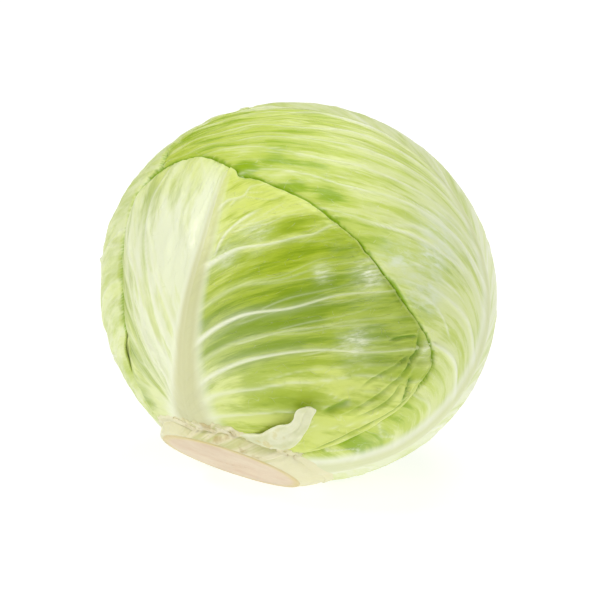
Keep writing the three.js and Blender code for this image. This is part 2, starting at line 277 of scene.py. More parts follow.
def leafMaterial(name, ownLook):
    look = {**plainLook, **ownLook}
    material, start = newMaterial(name)
    veinSpace = attribute(start, "veinSpace", 1)  # centimetres out along the veins and across them
    place = start.make("TexCoord", out=3)
    vein, rib, pale, edge, paintedShade, paintedSheen, ribShade, tone = [attribute(start, key) for key in leafValues]

    streak = veinSpace.stretch(0.3, 2.4, 1).noise(1.0, 4.0, 0.62).between(0.33, 0.67)
    fine = veinSpace.stretch(0.8, 9, 1).noise(1.0, 3.0, 0.55)
    cloud = place.noise(34, 2.0).between(0.35, 0.65)
    wander = veinSpace.noise(1.3, 1.0, out=1)
    warped = start.make("VectorMath", {"operation": "ADD"}, {
        0: veinSpace.stretch(0.6, 1.5, 1), 1: wander.stretch(0.8, 0.8, 0)})
    cell = start.make("TexVoronoi", {"feature": "DISTANCE_TO_EDGE"}, {"Vector": warped, "Scale": 1.6})
    net = (1 - cell.between(0.0, 0.035)) * fine.between(0.42, 0.66) * (1 - rib)

    shade = tone + (streak - 0.5) * 0.5 + (cloud - 0.5) * 0.3 + (fine - 0.5) * 0.5
    blade = shade.between(0.0, 0.5).blend(look["deep"], look["mid"])
    blade = shade.between(0.5, 1.0).blend(blade, look["light"])
    blade = (pale * (0.35 + 0.9 * streak)).atMost(1.0).blend(blade, look["pale"])
    colour = vein.atLeast(net * look["net"]).blend(blade, look["vein"])
    colour = (edge * 0.55).blend(colour, look["edge"])
    ribStreak = veinSpace.stretch(5, 0.25, 1).noise(1.0, 3.0).between(0.2, 0.8)
    ribTone = (ribStreak * 0.1 + (1 - ribShade)).atMost(1.0)
    colour = rib.blend(colour, ribTone.blend(look["rib"], look["vein"]))
    # painted sheen: whitish highlight patches mixed into the colour, broken up along the crumples
    crumple = veinSpace.stretch(0.8, 2.8, 1).noise(1.5, 4.0, 0.62).between(0.4, 0.66)
    colour = (paintedSheen * (0.3 + 0.75 * crumple)).atMost(1.0).blend(colour, look["paintedSheen"])
    # painted shade: a dark green in the creases and where the leaf dips under the edge of the one above
    colour = paintedShade.blend(colour, look["dark"])

    height = streak * 0.3 + net * 0.35 + fine * 0.4 + place.noise(170, 2.0) * 0.2
    finishMaterial(start, {
        "Base Color": colour,
        "Roughness": 0.3 + 0.18 * fine,
        **softness(0.08, (1.0, 1.0, 0.4), 0.0012),
        "Specular IOR Level": 0.22,
        "Coat Weight": 0.1,
        "Coat Roughness": 0.3,
    }, height, look["bump"])
    return material


# Building meshes

def layInFrame(points):  # from the head's millimetres to the frame's metres
    return (points @ headTurn.T + np.array(head["centre"])) * 0.001


def addObject(name, data):
    thing = bpy.data.objects.new(name, data)
    bpy.context.scene.collection.objects.link(thing)
    return thing


def makePiece(name, points, faces, material, slot, nodes, values):
    mesh = bpy.data.meshes.new(name)
    mesh.from_pydata(layInFrame(points).tolist(), [], faces)
    mesh.polygons.foreach_set("use_smooth", [True] * len(mesh.polygons))
    for key, value in values.items():
        wide = value.ndim == 2
        layer = mesh.attributes.new(key, "FLOAT_VECTOR" if wide else "FLOAT", "POINT")
        layer.data.foreach_set("vector" if wide else "value", value.astype(np.float32).ravel())
    mesh.materials.append(material)
    mesh.update()
    piece = addObject(name, mesh)
    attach(piece, "root")
    if nodes:
        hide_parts(*nodes)
    print("made", name, "with", len(mesh.polygons), "faces")


def gridFaces(index, flip):
    a, b, c, d = index[:-1, :-1], index[:-1, 1:], index[1:, 1:], index[1:, :-1]
    order = (a, d, c, b) if flip else (a, b, c, d)
    return np.stack([corner.ravel() for corner in order], -1)


# Leaves

leafBuild = {
    "rowStep": 0.65,  # millimetres between rows along the rib
    "columnStep": 0.85,  # millimetres between columns out from it
    "columnCrowding": 1.1,  # more than 1 brings the columns closer at the rib
    "insideStep": 3,  # the inside has one row for so many outside
    "ribFade": 10,  # degrees over which a vein swings away from the rib
    "edgeDroop": 1.0,
    "crinkle": 0.28,
}


def veinGrid(leaf, side, sign, rows, columns):
    t = columns[None, :, None]
    ribShare = rows ** side["fan"]
    root = lineOver(leaf["rib"], ribShare)
    lead = side["lead"] * (1 - ribShare) * smooth(0, 0.15, rows)
    start = lineOver(leaf["rib"], np.minimum(1, ribShare + lead))
    places = len(side["margin"])
    marginAt = side.get("marginAt", evenly(places))  # the row that ends at each listed place
    end = lineOver(side["margin"], np.interp(rows, marginAt, evenly(places)))
    seed = side["seed"]
    jag = ripple(rows * 17, rows * 0, seed) + 0.6 * ripple(rows * 43, rows * 0, seed + 1)
    jag = jag * side["jag"] * smooth(0, 0.06, rows) * smooth(1, 0.94, rows)
    for notch in side["notches"]:
        jag = jag - notch["deep"] * bump((rows - notch["at"]) / notch["wide"])
    outward = unit(end - start * dot(end, start))
    end = unit(end + outward * np.radians(jag)[:, None])
    across = unit(np.cross(start, end)) * sign
    half = np.arccos(np.clip(dot(start, end), -1, 1)) / 2
    bend = np.radians(valueAt(side["bend"], rows))[:, None]
    middle = (unit(start + end) + across * np.tan(2 * bend)) / np.cos(half)
    start, middle, end = start[:, None], middle[:, None], end[:, None]
    p = unit(start * (1 - t) ** 2 + middle * 2 * t * (1 - t) + end * t * t)
    away = np.degrees(np.arccos(np.clip(dot(p, start), -1, 1)))
    return unit(p + (root[:, None] - start) * np.exp(-away / leafBuild["ribFade"]))


def nearestOn(line, d, count=200):  # millimetres to a line over the head, and how far along it
    closeness = d @ lineOver(line, evenly(count)).T
    far = np.arccos(np.clip(closeness.max(-1), -1, 1)) * head["equatorRadius"]
    return far, closeness.argmax(-1) / (count - 1)


def spotsOver(spots, d):  # how strongly a place lies in any of a list of soft round spots
    found = np.zeros(d.shape[:-1])
    for place, reach, strength in spots:
        far = np.degrees(np.arccos(np.clip(d @ directions([place])[0], -1, 1)))
        found = np.maximum(found, strength * np.exp(-(far / reach) ** 2))
    return found


def creaseShape(leaf, d):  # furrows where folds of the blade meet, with painted shade along them, and single long veins
    rise, dark, light = np.zeros((3, *d.shape[:-1]))
    for line, deep, width, darkness, lightness in leaf.get("creases", []):
        far, share = nearestOn(line, d, 60)
        ends = smooth(0, 0.25, share) * smooth(1, 0.75, share)
        rise -= deep * ends * np.exp(-(far / width) ** 2)
        rise += deep * 0.5 * ends * np.exp(-((far - 2.2 * width) / width) ** 2)
        core = ends * np.exp(-(far / (width * 0.8)) ** 2)
        dark = np.maximum(dark, core * darkness)
        light = np.maximum(light, core * lightness)
    return rise, dark, light


def veinShape(side, q, t, spread):  # how high the veins stand, how pale they are, and the room between
    rng = np.random.default_rng(side["seed"])
    rise, paleness = np.zeros((2, *q.shape))
    roots = side["veins"]
    strengths = side.get("strengths", rng.uniform(0.55, 1.1, len(roots)))
    # root, lean, size, strength, and the shares of the blade where a vein begins and ends
    drawn = [(root, 0 * t, 1.0, strength, -1.0, 1.3) for root, strength in zip(roots, strengths)]
    for n in range(len(roots) - 1):
        gap = roots[n + 1] - roots[n]
        for turn, root in ((1, roots[n]), (-1, roots[n + 1])):
            for began in rng.uniform(0.15, 0.8, 2):
                out = np.clip((t - began) / (1 - began), 0, 1) ** 0.85
                share = rng.uniform(0.2, 0.55)
                drawn.append((root, turn * gap * share * out, 0.6, rng.uniform(0.25, 0.6), began, 1.0))
    for n, (root, lean, size, strength, began, ended) in enumerate(drawn):
        sway = 0.16 * side["sway"] * ripple(t * 4, t * 0 + n, side["seed"] + 7) / len(roots)
        x = (q - root - lean - sway * smooth(0, 0.3, t)) * spread
        width = valueAt(side["veinWidth"], t) * size
        shown = smooth(began, began + 0.08, t) * smooth(ended, ended - 0.3, t) * strength
        rise = np.maximum(rise, bump(x / width) * valueAt(side["veinHeight"], t) * shown)
        core, flank = bump(x / width), side["flankPale"] * np.exp(-(x / (width * side["flank"])) ** 2)
        paleness = np.maximum(paleness, np.maximum(core, flank) * valueAt(side["veinPale"], t) * shown)
    stops = np.array([0, *roots, 1])
    n = np.clip(np.searchsorted(stops, q, side="right") - 1, 0, len(stops) - 2)
    between = np.sin(math.pi * np.clip((q - stops[n]) / (stops[n + 1] - stops[n]), 0, 1))
    return rise, paleness, between


def sideShape(leaf, side, sign, rows, columns):
    d = veinGrid(leaf, side, sign, rows, columns)
    depth = layers.at(d.reshape(-1, 3)).reshape(d.shape[:2])
    radius = head["equatorRadius"]
    steps = np.linalg.norm(np.diff(d, axis=1), axis=-1) * radius
    along = np.concatenate([np.zeros((len(rows), 1)), np.cumsum(steps, 1)], 1)
    fromEdge = along[:, -1:] - along
    toward = unit(np.gradient(d, axis=1))
    spread = np.gradient(d, rows, axis=0)
    spread = np.linalg.norm(spread - toward * dot(spread, toward), axis=-1) * radius
    q, t = np.broadcast_arrays(rows[:, None], columns[None, :])
    ribFar, ribShare = nearestOn(leaf["rib"], d, 240)
    ribWidth = valueAt(leaf["ribHalfWidth"], ribShare)
    ribShape = bump(ribFar / ribWidth) ** 0.75
    ribRise = valueAt(leaf["ribHeight"], ribShare) * ribShape
    offRib = 1 - ribShape
    veinRise, veinPale, between = veinShape(side, q, t, spread)
    seed = side["seed"]
    acrossVeins = q * leaf["length"]
    crinkle = ripple(along / 13, acrossVeins / 6, seed + 2)
    crinkle = crinkle + 0.5 * ripple(along / 6, acrossVeins / 2.6, seed + 3)
    creased, dark, light = creaseShape(leaf, d)
    crinkle = crinkle * side["crinkle"] * leafBuild["crinkle"]
    crumpled = creased + crinkle * smooth(0.03, 0.2, t) * (1 + 1.3 * t)
    veinRoom = spread * len(rows) / (len(rows) - 1) / 20  # millimetres from vein to vein
    crumpled += side["puff"] * between ** 0.8 * smooth(0.06, 0.35, t) * smooth(6, 14, veinRoom)
    for fold in side["pleats"]:
        where = bump((q - fold["at"]) / fold["spread"]) * smooth(fold["from"], 1, t)
        crumpled += fold["high"] * where * np.sin(
            acrossVeins * 2 * math.pi / fold["length"] + fold["twist"] * t)
    exposed = np.clip(1 - depth / layering["exposedDepth"], 0, 1)
    edgeShape = smooth(5, 0, fromEdge) * offRib
    wave = side["wave"] * ripple(acrossVeins / 8, t * 0, seed + 4)
    relief = ribRise + (veinRise + crumpled) * offRib + edgeShape * (wave - leafBuild["edgeDroop"])
    plain = outline(d) - depth
    relief = np.minimum(exposed * relief, floorRadius(d) - plain)
    outer = plain + relief
    inner = outer - layering["thickness"] - 0.5 * ribRise - np.maximum(0, creased) * 0.3
    # painted shade spots, which darken the tone and take away paleness
    spotShade = spotsOver(leaf.get("shadeSpots", []), d)
    hidden = depth + 0.2 * ripple(acrossVeins / 5, along / 5, seed + 6)
    tone = valueAt(side["toneUp"], q) + valueAt(side["toneOut"], t) - side["toneBetween"] * (between - 0.5)
    sheet = np.full(q.shape, 7.3 * sign)  # keeps the patterns of the two sides apart
    values = {
        "veinSpace": np.stack([along / 10, acrossVeins / 10 * side["grain"], sheet], -1),
        "vein": np.clip(np.maximum(veinPale, light), 0, 1) * (1 - ribShape ** 2),
        "rib": smooth(1.1, 0.5, ribFar / ribWidth) * valueAt(leaf["ribPale"], ribShare),
        "pale": valueAt(side["paleUp"], q) * valueAt(side["paleOut"], t) * (1 - np.clip(spotShade, 0, 1)),
        "tone": tone - spotShade,
        "edge": smooth(1.4, 0, fromEdge),
        # painted shade: darker in the creases and where the leaf lies hidden under the edge of the one above
        "paintedShade": np.clip(dark + 0.9 * smooth(0.55, 1.0, hidden), 0, 1),
        # painted sheen spots
        "paintedSheen": spotsOver(leaf.get("sheenSpots", []), d),
        "ribShade": smooth(0.85, 0.3, np.abs(ribFar / ribWidth - 0.08 * sign)),
    }
    return d[..., None, :] * np.stack([outer, inner], -1)[..., None], values, fromEdge


def sheetIndex(rows, columns, sign):  # one half of a leaf, and its free edge from the stem to the tip
    index = np.arange(rows * columns).reshape(rows, -1)
    return gridFaces(index, sign < 0), np.concatenate([index[0], index[1:, -1]])[::sign]


def makeLeaf(name, leaf):
    radius, step = head["equatorRadius"], leafBuild["insideStep"]
    ribLine = lineOver(leaf["rib"], evenly(200))
    leaf["length"] = np.linalg.norm(np.diff(ribLine, axis=0), axis=1).sum() * radius

    def shares(length, spacing, power=1.0):
        return evenly(int(length / spacing / leaf["coarse"] / step) * step + 1) ** power

    rows = shares(leaf["length"], leafBuild["rowStep"])
    points, faces, values, outside, rims, cores, base = [], [], {}, [], [], [], 0
    for sideName, sign in (("right", 1), ("left", -1)):
        side = {**plainSide, **leaf.get("bothSides", {}), **leaf[sideName]}
        probe = veinGrid(leaf, side, sign, rows[::8], evenly(20))
        reach = np.percentile(np.linalg.norm(np.diff(probe, axis=1), axis=-1).sum(1), 70) * radius
        columns = shares(reach, leafBuild["columnStep"], leafBuild["columnCrowding"])
        grid, sideValues, fromEdge = sideShape(leaf, side, sign, rows, columns)
        under = grid[:, :, 1]
        for share in (0, 0.25, 0.5, 0.75):
            nearEdge = fromEdge[:-1] * (1 - share) + fromEdge[1:] * share < layering["rim"]
            rims.append((under[:-1] * (1 - share) + under[1:] * share)[nearEdge])
        cores.append(under[:, ::step][fromEdge[:, ::step] > layering["rim"] * 0.85])
        outside.append(grid[:, :, 0].reshape(-1, 3))
        inside = grid[::step, ::step, 1].reshape(-1, 3)
        outerFaces, edge = sheetIndex(len(rows), len(columns), sign)
        innerFaces, innerEdge = sheetIndex(len(rows[::step]), len(columns[::step]), sign)
        innerBase = base + len(outside[-1])
        edge, innerEdge = edge + base, innerEdge + innerBase
        walls = np.stack([edge[:-1:step], innerEdge[:-1], innerEdge[1:], edge[step::step],
                          edge[2::step], edge[1::step]], -1)
        faces += (outerFaces + base).tolist() + (innerFaces[:, ::-1] + innerBase).tolist() + walls.tolist()
        points += [outside[-1], inside]
        base = innerBase + len(inside)
        for key, value in sideValues.items():
            wide = value.shape[2:]
            both = [value.reshape(-1, *wide), value[::step, ::step].reshape(-1, *wide)]
            values.setdefault(key, []).extend(both)
    layers.take(np.vstack(cores), layering["spacing"])
    layers.take(np.vstack(rims), layering["rimSpacing"])
    skin.add(np.vstack(outside))
    values = {key: np.concatenate(value) for key, value in values.items()}
    material = leafMaterial(name + "_finish", leaf["look"])
    makePiece(leaf["piece"], np.vstack(points), faces, material, leaf["slot"], [name], values)


class Skin:  # the outside of the leaves near the stem, for what lies on them
    def __init__(self):
        self.leaves = []

    def add(self, points):
        d, r = unit(points), np.linalg.norm(points, axis=-1)
        keep = d[:, 2] < -0.55
        tree = KDTree(int(keep.sum()))
        for k, p in enumerate(d[keep].tolist()):
            tree.insert(p, k)
        tree.balance()
        self.leaves.append((tree, r[keep]))

    def radius(self, d):
        best = outline(d) - 0.6
        for tree, r in self.leaves:
            for n, p in enumerate(d.tolist()):
                _, k, far = tree.find(p)
                if k is not None and far < 0.02:
                    best[n] = max(best[n], r[k])
        return best


layers = Layers()
skin = Skin()

plainSide = {  # what a side of a leaf has where it says nothing else
    "fan": 1.3, "lead": 0.14, "jag": 0.5, "wave": 0.5, "grain": 1, "notches": [], "pleats": [],
    "veins": [0.07, 0.17, 0.28, 0.41, 0.56, 0.72, 0.88], "veinWidth": [3.2, 1.6, 1.1, 0.8],
    "veinHeight": [1.2, 0.9, 0.6, 0.3], "veinPale": [1, 0.9, 0.7, 0.4], "flank": 2, "flankPale": 0.28,
    "sway": 1.2, "crinkle": 1, "puff": 0.7,
    "toneOut": [0.3, 0.1, 0, 0, 0], "toneBetween": 0.45,
    "paleUp": [0.9, 0.5, 0.2, 0.2, 0.3], "paleOut": [0.8, 0.3, 0.1, 0.05, 0],
}
setOffVeins = [0.12, 0.22, 0.34, 0.48, 0.64, 0.8, 0.94]  # the other side's, between those of the first

plainLook = {
    "pale": tint(238, 244, 206), "vein": tint(238, 243, 208), "rib": tint(226, 226, 184),
    # the dark green here is the colour of painted shade
    "edge": tint(226, 238, 150), "dark": tint(140, 178, 8), "paintedSheen": tint(236, 242, 206),
    "net": 0.15, "bump": 0.75,
}

frontLeaf = {
    "piece": "front_leaf", "slot": "leaf_green", "coarse": 0.8,
    "rib": [[-39.5, 26.8], [-33.6, 46], [-31.6, 66], [-30.8, 87], [-34, 108.6]],
    "ribHeight": [1.8, 3.4, 2.9, 2.1, 1.2, 0.3],
    "ribHalfWidth": [19, 13.5, 9.5, 7.5, 6, 4.5, 2.5],
    "ribPale": [1, 1, 1, 0.95, 0.85, 0.6, 0.2],
    "look": {
        "deep": tint(132, 160, 0), "mid": tint(168, 189, 30), "light": tint(213, 225, 104),
        "pale": tint(240, 246, 208), "vein": tint(242, 246, 214), "rib": tint(214, 214, 164),
        "dark": tint(108, 150, 0), "paintedSheen": tint(240, 245, 212), "net": 0.2,
    },
    "right": {
        "margin": [[34, 29], [48, 57], [49.5, 77], [33, 87], [22, 93.5], [13, 98.5], [-1, 105], [-20, 109],
            [-34, 110.5]],
        "marginAt": [0, 0.06, 0.15, 0.32, 0.45, 0.6, 0.75, 0.88, 1], "fan": 1.2,
        "bend": [4.9, 6, 3.5, 1, 0, 0, 0, 0, 0], "lead": 0.2, "jag": 0.6, "wave": 0.6, "seed": 11,
        "notches": [{"at": 0.955, "deep": 1.3, "wide": 0.03}],
        "veins": [0.055, 0.11, 0.2, 0.3, 0.4, 0.53, 0.68, 0.77, 0.87],
        "strengths": [0.7, 0.7, 1, 0.4, 1.1, 0.35, 1, 0.35, 0.7],
        "veinWidth": [3, 1.25, 0.9, 0.7], "veinHeight": [1.4, 1, 0.7, 0.35],
        "veinPale": [1, 0.85, 0.6, 0.35], "sway": 1, "puff": 0.9,
        "toneUp": [0.95, 0.5, 0.15, 0.15, 0.5, 1, 1.15], "toneOut": [0.3, 0.1, 0, 0.05, 0.15],
        "toneBetween": 0.3, "paleUp": [0.6, 0.4, 0.15, 0.1, 0.3, 0.5], "paleOut": [0.9, 0.3, 0.15, 0.2, 0.35],
        "pleats": [{"at": 0.2, "spread": 0.16, "from": 0.6, "high": 0.25, "length": 6.5, "twist": 3}],
    },
    "left": {
        "margin": [[-90, 29], [-79, 40], [-69.5, 50], [-65, 61], [-64, 72], [-65.5, 82], [-67, 91],
            [-68.5, 99], [-65.5, 105.5], [-57, 110], [-46, 113], [-34, 110.5]],
        "fan": 4.5, "grain": 0.5, "bend": [3, 2, 1, 1, 1, 1, 0.5, 0, 0], "lead": 0.04, "wave": 0.6,
        "seed": 23, "veins": [0.15, 0.3, 0.42, 0.545, 0.66, 0.78, 0.9],
        "strengths": [0.4, 0.6, 0.5, 1, 0.5, 1, 0.5],
        "veinWidth": [3.2, 2.4, 1.8, 1.2], "veinPale": [0.9, 0.8, 0.7, 0.5],
        "flankPale": 0.4, "sway": 1.4, "crinkle": 0.9, "puff": 0.5,
        "toneUp": [0.7, 0.6, 0.7, 0.8, 0.9, 0.95], "toneOut": [0.3, 0.2, 0.1, 0, 0], "toneBetween": 0.25,
        # the paleness of this half is partly its pale veins and base and partly painted highlight where the
        # lamps light it
        "paleUp": [0.5, 0.5, 0.6, 1, 1.1, 0.8], "paleOut": [1.2, 1.2, 1, 0.7, 0.5],
    },
    "creases": [  # line, depth, width, how dark the painted shade along it is, how light
        [[[30, 76.8], [35.4, 79.9], [40, 82]], 1, 0.7, 1, 0],
        [[[49, 76], [48.7, 66], [46.9, 58.1], [42, 48.4], [37, 37.9], [35, 32]], 0.7, 0.7, 0.85, 0],
        [[[-40, 52], [-42.1, 57.7], [-48.8, 72.9], [-55.5, 90], [-60, 104]], -0.5, 1.6, 0, 0.9],
        [[[-48, 46], [-50.7, 53.8], [-53.3, 69.7], [-60.8, 80.9], [-64, 92]], -0.5, 1.4, 0, 0.9],
        [[[-27.3, 79], [-26.2, 88.1], [-22.8, 94.5], [-17, 101]], -0.4, 1, 0, 0.8],
        [[[38.5, 84.5], [41.4, 78.2], [41, 74], [40.3, 68]], 1.5, 0.9, 1, 0],
        [[[43.6, 71.5], [46, 67], [47.8, 62]], 1.1, 0.8, 1, 0],
        [[[30.5, 60], [33.2, 66.3], [38.3, 73.2], [40.9, 76.6]], 0.8, 0.8, 0.5, 0],
        [[[30, 49.5], [36.5, 58.8], [40.4, 67.6], [42.2, 73.2]], 0.8, 0.9, 0.45, 0],
        [[[24.3, 48.1], [27, 52.6], [30.3, 57]], 1.2, 1.8, 0.6, 0],
        [[[35, 50.3], [41.1, 57.9], [42.9, 65], [42.4, 68]], 0.8, 0.8, 0.5, 0],
    ],
    "sheenSpots": [  # painted sheen: whitish patches where the lamps' highlights fall; place, reach in degrees, strength
        [[17.5, 91.9], 4.5, 1], [[21.3, 72.6], 4.5, 0.95],
        [[4.3, 87.5], 2.5, 0.8], [[-53, 85], 10, 0.7],
        [[-43, 86], 8, 0.9], [[45, 79.5], 2.5, 0.9],
        [[-24, 84], 3, 0.8], [[-17, 93], 4, 0.6],
    ],
}
makeLeaf("leaf_front", frontLeaf)

backLeaf = {
    "piece": "back_leaf", "slot": "leaf_green", "coarse": 1.3,
    "rib": [[168, 26.8], [168, 46], [167, 66], [166, 86], [166, 105]],
    "ribHeight": [1.4, 2.8, 2.5, 1.8, 1, 0],
    "ribHalfWidth": [11, 10, 8, 5.5, 3.5, 2],
    "ribPale": [1, 1, 0.95, 0.85, 0.5, 0.2],
    "look": {"deep": tint(142, 168, 24), "mid": tint(178, 198, 60), "light": tint(214, 226, 114)},
    "bothSides": {
        "bend": [1.4, 1, 0, 0, 0, 0, 0, 0, 0], "veinHeight": [1.4, 1, 0.7, 0.3], "puff": 0.8,
        "toneUp": [0.5, 0.4, 0.35, 0.45, 0.7], "toneOut": [0.35, 0.1, 0, 0, 0],
        "paleOut": [0.8, 0.2, 0.05, 0, 0],
    },
    "right": {
        "margin": [[205, 29], [221, 50], [227, 69], [224, 84], [214, 95], [203, 102], [191, 107], [179, 109],
            [166, 109]],
        "seed": 31,
    },
    "left": {
        "margin": [[129, 29], [114, 49], [108, 67], [109, 82], [117, 94], [128, 102], [140, 107], [153, 109],
            [166, 109]],
        "seed": 37, "veins": setOffVeins,
    },
}
makeLeaf("leaf_back", backLeaf)

rightLeaf = {
    "piece": "right_leaf", "slot": "leaf_light", "coarse": 1.25,
    "rib": [[55, 26.8], [69, 50], [71, 73], [68, 97], [56, 120], [36, 141], [-8, 150], [-50, 139]],
    "ribHeight": [1.2, 2.6, 2.2, 1.7, 1.2, 0.7, 0.4, 0],
    "ribHalfWidth": [13, 9, 8, 7, 5, 3, 2, 2],
    "ribPale": [1, 1, 0.9, 0.8, 0.6, 0.4, 0.3, 0.2],
    "look": {
        "deep": tint(148, 180, 6), "mid": tint(192, 210, 74), "light": tint(218, 229, 134),
        "pale": tint(234, 240, 200), "vein": tint(246, 249, 226), "rib": tint(222, 226, 178),
        "edge": tint(230, 240, 170), "paintedSheen": tint(232, 240, 214), "net": 0.25, "bump": 0.55,
    },
    "right": {
        "margin": [[112, 28.4], [121, 48], [126, 68], [128, 90], [130, 112], [136, 132], [165, 147],
            [-148, 150], [-62, 139]],
        "fan": 1.2, "grain": 0.5, "bend": [3, 1, 0, 0, 0, 2, 4, 2, 0], "lead": 0.25, "wave": 0.3, "seed": 41,
        "veins": [0.06, 0.16, 0.27, 0.39, 0.53, 0.68, 0.84],
        "veinWidth": [3, 1.4, 1, 0.7], "veinHeight": [0.3, 0.4, 0.4, 0.3], "veinPale": [0.4, 0.7, 0.6, 0.4],
        "crinkle": 0.4, "puff": 0.15,
        "toneUp": [1, 0.85, 0.7, 0.6, 0.55], "toneOut": [0.3, 0.2, 0, 0, 0], "toneBetween": 0.3,
        "paleUp": [1.6, 1.3, 0.9, 0.6, 0.4], "paleOut": [1, 0.9, 0.4, 0.1, 0],
    },
    "left": {
        "margin": [[24, 29], [8, 50], [-8, 74], [-30, 92], [-60, 106], [-67, 111], [-71, 118], [-71, 128],
            [-62, 139]],
        "fan": 1, "bend": [1.1, 1, 1, 3, -4, -3, -2, -1, 0], "lead": 0.15, "jag": 0.35, "seed": 43,
        "veins": [0.06, 0.12, 0.19, 0.26, 0.33, 0.4, 0.45, 0.5, 0.56, 0.63, 0.76, 0.9],
        "veinWidth": [2.4, 1, 0.8, 0.6], "veinHeight": [1.1, 0.7, 0.5, 0.3],
        "veinPale": [0.8, 0.6, 0.5, 0.3], "flankPale": 0.25, "crinkle": 1.2, "puff": 0.4,
        "toneUp": [0.5, 0.5, 0.6, 0.5, 0.5, 0.5], "toneOut": [0.4, 0.2, 0.1, 0, 0], "toneBetween": 0.4,
        "paleUp": [0.25, 0.25, 0.5, 0.35, 0.2, 0.15], "paleOut": [1.1, 0.9, 0.5, 0.3, 0.2, 0.1],
    },
    "creases": [  # line, depth, width, how dark the painted shade along it is, how light
        [[[14.9, 96], [20.5, 92.7], [26.4, 88.7], [31.7, 85.3], [37.1, 82.4], [42.3, 79.5], [47.9, 76]],
         0.7, 1.9, 0.9, 0],
        [[[8, 119], [36.9, 117.3], [51, 111], [64, 102]], -0.5, 0.8, 0, 1],
        [[[8, 105], [25.5, 108.1], [41.3, 106.9], [62, 103]], -0.5, 0.8, 0, 0.9],
        [[[30, 121.5], [52, 115], [66, 103]], -0.4, 0.7, 0, 0.7],
        [[[24, 100], [40, 99.5], [56, 96]], -0.4, 0.7, 0, 0.7],
        [[[30, 93], [42, 91], [54, 84]], -0.4, 0.7, 0, 0.6],
    ],
    "shadeSpots": [  # painted shade: spots where the blade is made darker and less pale; place, reach in degrees, strength
        [[49, 42], 9, 0.4], [[51, 58], 8, 0.4],
        [[-29, 111], 3.5, 1.1], [[-22, 119], 6, 0.5],
        [[-1, 111], 5, 0.5], [[-12, 110], 4, 0.5],
    ],
    "sheenSpots": [  # painted sheen: whitish patches where the lamps' highlights fall; place, reach in degrees, strength
        [[35.8, 94.4], 7, 0.9], [[25.2, 98.9], 6, 0.8],
        [[35.8, 104.2], 6, 1], [[38.3, 110.8], 9, 0.8],
    ],
}
makeLeaf("leaf_right", rightLeaf)

leftLeaf = {
    "piece": "left_leaf", "slot": "leaf_green", "coarse": 1,
    "rib": [[-124, 26.8], [-122, 52], [-120, 78], [-118, 104], [-112, 129], [-96, 150]],
    "ribHeight": [1.3, 2.6, 2.1, 1.5, 0.8, 0],
    "ribHalfWidth": [11, 10, 8, 5.5, 3.5, 2],
    "ribPale": [1, 1, 0.95, 0.8, 0.5, 0.2],
    "look": {
        "deep": tint(150, 178, 36), "mid": tint(190, 208, 76), "light": tint(218, 230, 128),
        "edge": tint(206, 224, 110),
    },
    "right": {
        "margin": [[-94, 29], [-74, 48], [-60, 68], [-50, 86], [-45, 102], [-46, 118], [-53, 132], [-66, 145],
            [-92, 155]],
        "bend": [1, 1, 0, 0, 0, 0, 0, 0, 0], "seed": 53, "grain": 0.5,
        "toneUp": [0.6, 0.7, 0.7, 0.6, 0.5], "toneOut": [0.3, 0.1, 0.1, 0.2, 0.2], "toneBetween": 0.3,
        "paleUp": [0.5, 0.6, 0.6, 0.4, 0.3], "paleOut": [0.8, 0.5, 0.6, 0.8, 0.8],
    },
    "left": {
        "margin": [[-152, 29], [-168, 48], [-177, 68], [-180, 88], [-178, 106], [-172, 123], [-160, 138],
            [-135, 152], [-92, 155]],
        "bend": [0.8, 1, 0, 0, 0, 0, 1, 2, 0], "seed": 59, "veins": setOffVeins,
        "toneUp": [0.6, 0.5, 0.4, 0.45, 0.5],
    },
}
makeLeaf("leaf_left", leftLeaf)

crownLeaf = {
    "piece": "crown_leaf", "slot": "leaf_light", "coarse": 1.4,
    "rib": [[-172, 26.8], [-173, 54], [-176, 82], [178, 110], [168, 137], [138, 161]],
    "ribHeight": [0.8, 1.9, 1.7, 1.4, 0.8, 0],
    "ribHalfWidth": [9, 8, 7, 5, 3.5, 2],
    "ribPale": [1, 1, 0.95, 0.8, 0.5, 0.2],
    "look": {
        "deep": tint(172, 200, 64), "mid": tint(204, 219, 98), "light": tint(222, 233, 146),
        "pale": tint(240, 245, 214), "vein": tint(240, 245, 214), "rib": tint(224, 226, 180),
        "edge": tint(230, 240, 170), "dark": tint(150, 186, 16), "paintedSheen": tint(236, 242, 214),
    },
    "bothSides": {
        "veinWidth": [2.8, 1.4, 1, 0.7], "veinHeight": [1.1, 0.8, 0.5, 0.3],
        "toneUp": [0.7, 0.55, 0.5, 0.5, 0.5], "toneBetween": 0.4,
    },
    "right": {
        "margin": [[-148, 29], [-128, 48], [-116, 70], [-109, 92], [-106, 112], [-105, 130], [-108, 148],
            [-125, 165], [115, 168]],
        "bend": [0.8, 1, 0, 0, 0, 0, 1, 2, 0], "seed": 61,
    },
    "left": {
        "margin": [[166, 29], [145, 48], [127, 70], [116, 92], [110, 112], [106, 130], [102, 145], [98, 158],
            [115, 168]],
        "bend": [1, 1, 0, 0, 0, 0, 0, 0, 0], "seed": 67, "veins": setOffVeins,
    },
}
makeLeaf("leaf_crown", crownLeaf)


# Closed bodies of rings round the head's axis

def ring(a, r, z, shift=0.0):
    return np.stack([r * np.cos(a), r * np.sin(a) + shift, np.broadcast_to(z, a.shape)], -1)


def ringFaces(rings, sides):
    at = lambda ring, i: 1 + ring * sides + i % sides
    last = 1 + rings * sides
    faces = []
    for i in range(sides):
        faces.append([0, at(0, i + 1), at(0, i)])
        faces.append([last, at(rings - 1, i), at(rings - 1, i + 1)])
        faces += [[at(r, i), at(r, i + 1), at(r + 1, i + 1), at(r + 1, i)] for r in range(rings - 1)]
    return faces


